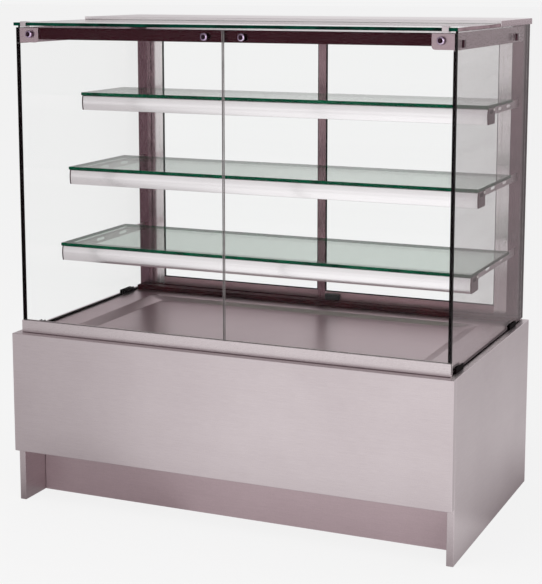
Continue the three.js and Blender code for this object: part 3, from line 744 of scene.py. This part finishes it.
def build_corner_seal(hand, side):
    pane_lo, pane_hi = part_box(f"{hand}_front_glass")
    lo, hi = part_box(f"{hand}_side_glass")
    near, far = (lo.x - SEAL_DEEP, hi.x) if side > 0 else (lo.x, hi.x)
    bottom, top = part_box("front_glass_rail")[1].z + 0.2 * MM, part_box(f"{hand}_side_rail")[0].z
    bm = block((near, pane_hi.y + 0.1 * MM, bottom), (far, lo.y - 0.1 * MM, top - 0.3 * MM))
    block((lo.x, pane_hi.y + 0.1 * MM, top + 0.3 * MM), (hi.x, lo.y - 0.1 * MM, pane_hi.z), bm)
    soften(bm, 0.6 * MM)
    finish_piece(bm, f"{hand}_corner_seal", rubber)


def build_door_bead(hand):
    """A bead on both faces of the door, round the edge of the visible glass."""
    lo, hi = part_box(f"{hand}_door_frame")
    left, right, bottom, top = door_sight(hand)
    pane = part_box(f"{hand}_door_glass")
    bm = bmesh.new()
    for near, far in ((lo.y + 0.8 * MM, pane[0].y - 0.1 * MM), (pane[1].y + 0.1 * MM, hi.y - 0.8 * MM)):
        for x0, x1, z0, z1 in ((left, right, bottom, bottom + BEAD), (left, right, top - BEAD, top),
                               (left, left + BEAD, bottom + BEAD, top - BEAD),
                               (right - BEAD, right, bottom + BEAD, top - BEAD)):
            block((x0, near, z0), (x1, far, z1), bm)
    soften(bm, 0.4 * MM, 1)
    finish_piece(bm, f"{hand}_door_bead", rubber, body=f"{hand}_door")


# %% [markdown]
# ## Folded sections
# The rail at the panes' feet, the rubber pads and the hood are folded or extruded sections. Their
# nodes already have the right section, so a welded copy with its folds rounded is the shortest
# honest way to a finished piece.

# %% Folded sections
def folded(node, name, look, fold, segments=2, body="cabinet"):
    bm = node_copy(node)
    soften(bm, fold, segments)
    return finish_piece(bm, name, look, node, body)


folded("front_glass_rail", "front_rail_channel", steel_bright, 0.9 * MM, 3)
hood = folded("hood", "hood_sheet", steel_hood_painted_light, 0.8 * MM, 2)
# The hood's top keeps the near-white copy and its ends take the darker frame steel: painted light on top,
# painted shade on the ends.
hood.data.materials.append(steel_frame_reflection_and_shade)
for facet in hood.data.polygons:
    facet.material_index = 1 if abs(facet.normal.x) > 0.7 else 0
folded("header_bar", "header_strip", steel_header_painted_reflection, 0.8 * MM, 2)
folded("lower_track", "lower_track_section", track_coat_and_shade, 0.5 * MM)
folded("upper_track", "upper_track_section", aluminium, 0.5 * MM)
folded("control_panel", "control_panel_sheet", steel_across, 0.6 * MM)
for hand, side in HANDS:
    folded(f"{hand}_side_rail", f"{hand}_side_rail_sheet", steel_frame_reflection_and_shade, 0.6 * MM)
    folded(f"{hand}_rear_post", f"{hand}_post_section", steel_upright_painted_reflection, 0.6 * MM)
    folded(f"{hand}_top_glass_clip", f"{hand}_edge_clip", screw_steel, 0.5 * MM)
    for end in ("front", "rear"):
        folded(f"{hand}_{end}_glass_clip", f"{hand}_{end}_rubber_pad", rubber, 0.8 * MM)
print("folded pieces done")

# %% [markdown]
# ## Shelves
# A shelf hangs on two flat arms that hook into the posts. Behind its front edge runs the light rail,
# an aluminium section with a slightly bowed face, closed by a cap at each end.

# %% Shelves
for level in LEVELS:
    folded(f"{level}_light_rail", f"{level}_rail_section", aluminium, 0.5 * MM)
    folded(f"{level}_light_diffuser", f"{level}_opal_strip", opal, 0.4 * MM)
    for hand, side in HANDS:
        folded(f"{level}_{hand}_end_cap", f"{level}_{hand}_rail_cap", cap_steel, 0.4 * MM)
        folded(f"{level}_{hand}_shelf_arm", f"{level}_{hand}_arm_plate", steel_deep,
               0.4 * MM)
print("shelf pieces done")

# %% [markdown]
# ## Sliding doors
# Each door is four lengths of aluminium section round a captured pane, with a long finger pull sunk
# in the outer stile. The node is one solid, so a copy is cut where the members meet. Its flat
# triangles are joined only within a member, which keeps every face a simple one.

# %% Doors
def build_door(hand):
    """The stiles' grain runs up and the rails' grain across, so each member has its own finish. The rails
    and the meeting stile take darker copies of the aluminium: painted shade.
    """
    node = f"{hand}_door_frame"
    left, right, _, _ = door_sight(hand)

    def finish_of(x):
        return 1 if left < x < right else 2 if abs(x) < min(abs(left), abs(right)) else 0

    bm = node_copy(node, (left, right), finish_of)
    soften(bm, 0.5 * MM)
    lo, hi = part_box(node)
    for face in bm.faces:
        sunk = abs(face.calc_center_median().y - (lo.y + hi.y) / 2) < 1.2 * MM
        if sunk and abs(face.normal.y) > 0.9:
            face.material_index = 2  # the floor of the finger pull lies in its own shade
    finish_piece(bm, f"{hand}_door_section", [aluminium_up, aluminium_rail_painted_shade, aluminium_meeting_painted_shade],
                 node, f"{hand}_door")


for hand, side in HANDS:
    build_door(hand)
    build_door_bead(hand)
    build_foot_gasket(hand, side)
    build_corner_seal(hand, side)
folded("centre_guide", "centre_guide_block", plastic, 1.2 * MM, 3)
folded("switch_bezel", "switch_surround", plastic, 0.6 * MM)
folded("light_switch", "switch_rocker_cap", plastic, 0.5 * MM, body="switch_rocker")
folded("power_inlet", "inlet_shell", plastic, 0.6 * MM)
folded("light_driver", "driver_case", plastic, 1.5 * MM, 3)

# %% [markdown]
# ## Fixings
# The front panes hang on four bolts through the glass. Each is a profile spun round its axis: a
# rounded bright rim that falls to a countersunk middle. The middle's near-black and the rim's lilac
# tint are painted reflections of the dark wine room. Small domed screws are spun the same
# way, from a washer and a quarter arc.

# %% Fixings
BOLT_RADIUS = 9.4 * MM
BOLT_AT_CORNER, BOLT_AT_SEAM = 545 * MM, 49.6 * MM  # how far the bolts sit from the middle


def dome_profile(radius, height, washer=0.8 * MM, rings=6):
    arc = [math.pi / 2 * i / rings for i in range(rings + 1)]
    dome = [(radius * 0.92 * math.cos(a), washer + height * math.sin(a)) for a in arc]
    return [(0, 0), (radius, 0), (radius, washer)] + dome[:-1] + [(0, washer + height)]


def build_pane_bolts():
    """Four bolts with a bright rim and a countersunk middle, whose dark colour is a painted reflection."""
    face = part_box("right_front_glass")[0].y
    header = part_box("header_bar")
    z = (header[0].z + header[1].z) / 2 - 2 * MM
    rim = [(0, 0), (1.0, 0), (1.0, 0.1), (0.93, 0.28), (0.8, 0.42), (0.66, 0.46), (0.56, 0.4),
           (0.3, 0.16), (0, 0.1)]
    bm = bmesh.new()
    profile = [(r * BOLT_RADIUS, h * BOLT_RADIUS) for r, h in rim]
    for x in (-BOLT_AT_CORNER, -BOLT_AT_SEAM, BOLT_AT_SEAM, BOLT_AT_CORNER):
        turned(profile, (x, face - 0.1 * MM, z), (0, -1, 0), bm)
        for made in bm.faces:
            middle = made.calc_center_median() - Vector((x, 0, z))
            # The countersunk middle takes the near-black core finish: a painted reflection.
            if Vector((middle.x, middle.z)).length < 0.64 * BOLT_RADIUS and made.normal.y < 0.9:
                made.material_index = 1
    return finish_piece(bm, "pane_bolts", [bolt_chrome, bolt_core_painted_reflection])


build_pane_bolts()

# %% [markdown]
# ## Small fittings
# These are the pieces a fitter adds last: pads and a screw on each side glass, screw heads on the
# cabinet, a grommet and a lead guide at each light rail's cap, and the blades inside the mains inlet.
# Each is too small to carry load here, so it is a short block or a spun profile placed from the box
# of the part it sits on.

# %% Side glass fixings and cabinet screws
PAD_LENGTH, PAD_HEIGHT, PAD_PROUD = 15 * MM, 18 * MM, 6 * MM
PAD_FROM_FRONT, PAD_FROM_REAR, SCREW_FROM_REAR = 41 * MM, 106 * MM, 82 * MM
SCREW_RADIUS = 5.2 * MM
CAP_SLOT = {"length": 28 * MM, "height": 10 * MM, "inset": 12 * MM, "drop": 9 * MM}
PIN = {"width": 2 * MM, "height": 5 * MM, "root": 13.5 * MM, "tip": 3 * MM, "pitch": 7 * MM}
PANEL_SCREW_INSET = 14 * MM


def build_side_pads(hand, side):
    """Two square pads hold the side glass to its rail; the rear one has a domed screw beside it."""
    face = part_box(f"{hand}_side_glass")[1 if side > 0 else 0].x
    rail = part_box(f"{hand}_side_rail")
    z = (rail[0].z + rail[1].z) / 2 - 5 * MM
    bm = bmesh.new()
    near, far = sorted((face + side * 0.1 * MM, face + side * PAD_PROUD))
    for y in (rail[0].y + PAD_FROM_FRONT, rail[1].y - PAD_FROM_REAR):
        block((near, y - PAD_LENGTH / 2, z - PAD_HEIGHT / 2),
              (far, y + PAD_LENGTH / 2, z + PAD_HEIGHT / 2), bm)
    soften(bm, 1.2 * MM, 3)
    finish_piece(bm, f"{hand}_side_glass_pads", cap_steel)
    bm = bmesh.new()
    at = (face + side * 0.1 * MM, rail[1].y - SCREW_FROM_REAR, z + 1 * MM)
    turned(dome_profile(SCREW_RADIUS, 2 * MM), at, (side, 0, 0), bm)
    finish_piece(bm, f"{hand}_side_glass_screw", screw_steel)


def build_panel_screws(hand, side):
    """Low heads where the stretchers are screwed to the side panel."""
    face = cad_box[1 if side > 0 else 0].x
    head = [(0, 0), (4.2, 0), (4.2, 0.1), (3.6, 0.4), (1.6, 0.45), (1.3, 0.1), (0, 0.1)]
    profile = [(radius * MM, height * MM) for radius, height in head]
    bm = bmesh.new()
    for end in ("front", "rear"):
        lo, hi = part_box(f"{end}_stretcher")
        middle = (lo + hi) / 2
        turned(profile, (face - side * 0.5 * MM, middle.y, middle.z), (side, 0, 0), bm, 24)
    finish_piece(bm, f"{hand}_panel_screws", screw_steel)


def build_cap_plugs(level, hand, side):
    """A dark grommet fills the slot in the light rail's cap; the small pale lead holder beside it comes from
    build_lead_tabs.
    """
    lo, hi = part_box(f"{level}_{hand}_end_cap")
    y, z = lo.y + CAP_SLOT["inset"] + CAP_SLOT["length"] / 2, hi.z - CAP_SLOT["drop"]
    near, far = lo.x - 0.2 * MM, hi.x + 0.2 * MM
    near, far = (near, far + 0.6 * MM) if side > 0 else (near - 0.6 * MM, far)
    half_y, half_z = CAP_SLOT["length"] / 2 - 0.3 * MM, CAP_SLOT["height"] / 2 - 0.3 * MM
    bm = block((near, y - half_y, z - half_z), (far, y + half_y, z + half_z))
    upright = [e for e in bm.edges if abs(e.verts[0].co.x - e.verts[1].co.x) > 1 * MM]
    bmesh.ops.bevel(bm, geom=upright, offset=half_z * 0.98, offset_type="OFFSET", segments=6, profile=0.5,
                    affect="EDGES", material=-1)
    finish_piece(bm, f"{level}_{hand}_cap_grommet", rubber)


def build_inlet_pins():
    """Three blades stand in the mains inlet: two in a row below and the earth above them."""
    lo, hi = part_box("power_inlet")
    middle = (lo + hi) / 2
    bm = bmesh.new()
    half = Vector((PIN["width"] / 2, 0, PIN["height"] / 2))
    root, tip = (Vector((0, hi.y - PIN[end], 0)) for end in ("root", "tip"))
    for across, rise in ((-PIN["pitch"], -2 * MM), (PIN["pitch"], -2 * MM), (0, 2 * MM)):
        at = Vector((middle.x + across, 0, middle.z + rise))
        block(at - half + root, at + half + tip, bm)
    soften(bm, 0.5 * MM)
    finish_piece(bm, "inlet_pins", screw_steel)


def build_control_screws():
    """Three low screw heads hold the control panel: one at each end and one in the middle."""
    lo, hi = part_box("control_panel")
    bm = bmesh.new()
    head = dome_profile(3.6 * MM, 0.9 * MM, 0.3 * MM)
    for x in (lo.x + PANEL_SCREW_INSET, 0, hi.x - PANEL_SCREW_INSET):
        turned(head, (x, hi.y - 0.1 * MM, (lo.z + hi.z) / 2), (0, 1, 0), bm, 20)
    finish_piece(bm, "control_panel_screws", screw_steel)


def build_lead_tabs(level, hand, side):
    """The strip's lead leaves its cap through a small pale guide behind the grommet."""
    lo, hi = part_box(f"{level}_{hand}_end_cap")
    y = lo.y + CAP_SLOT["inset"] + CAP_SLOT["length"] + 4 * MM
    face = hi.x if side > 0 else lo.x
    near, far = sorted((face + side * 0.1 * MM, face + side * 2.4 * MM))
    bm = block((near, y, hi.z - 8 * MM), (far, y + 7 * MM, hi.z - 2 * MM))
    soften(bm, 0.8 * MM, 2)
    finish_piece(bm, f"{level}_{hand}_lead_guide", white_plastic)


build_inlet_pins()
build_control_screws()
for hand, side in HANDS:
    build_side_pads(hand, side)
    build_panel_screws(hand, side)
    for level in LEVELS:
        build_cap_plugs(level, hand, side)
        build_lead_tabs(level, hand, side)
